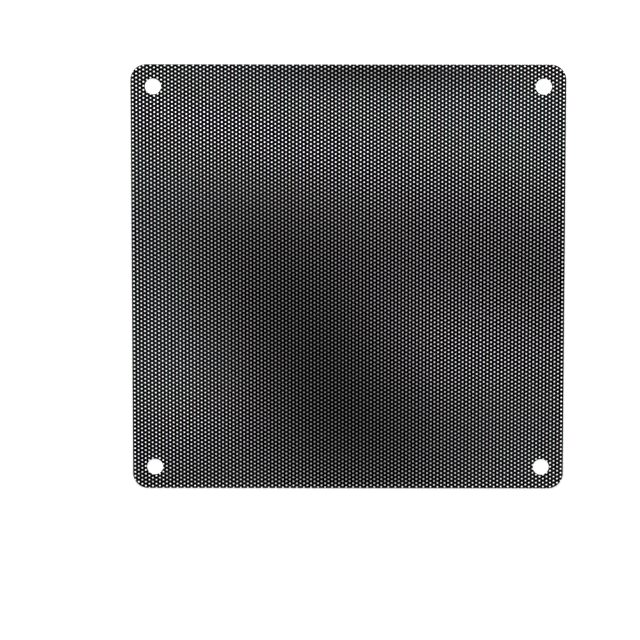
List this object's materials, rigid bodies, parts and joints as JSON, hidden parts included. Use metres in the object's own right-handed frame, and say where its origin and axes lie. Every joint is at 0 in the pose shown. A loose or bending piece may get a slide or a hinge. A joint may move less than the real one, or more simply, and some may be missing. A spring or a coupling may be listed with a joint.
{
  "type": "fan dust filter",
  "caption": "Thin flexible square of black perforated plastic net with rounded corners and a screw hole near each corner, screwed over a cooling fan to keep dust out.",
  "frame": {"origin": "centre of the sheet's underside, where it lies on a flat surface", "axes": "+Z out of the sheet's face, towards the side the screw heads bear on; +X across the sheet; +Y along the columns of openings, away from a viewer at the front edge"},
  "size_m": [0.14, 0.14, 0.0005],
  "materials": {
    "net_plastic": "black soft plastic, satin"
  },
  "bodies": {
    "root": {"filter_net": "net_plastic"}
  },
  "joints": []
}
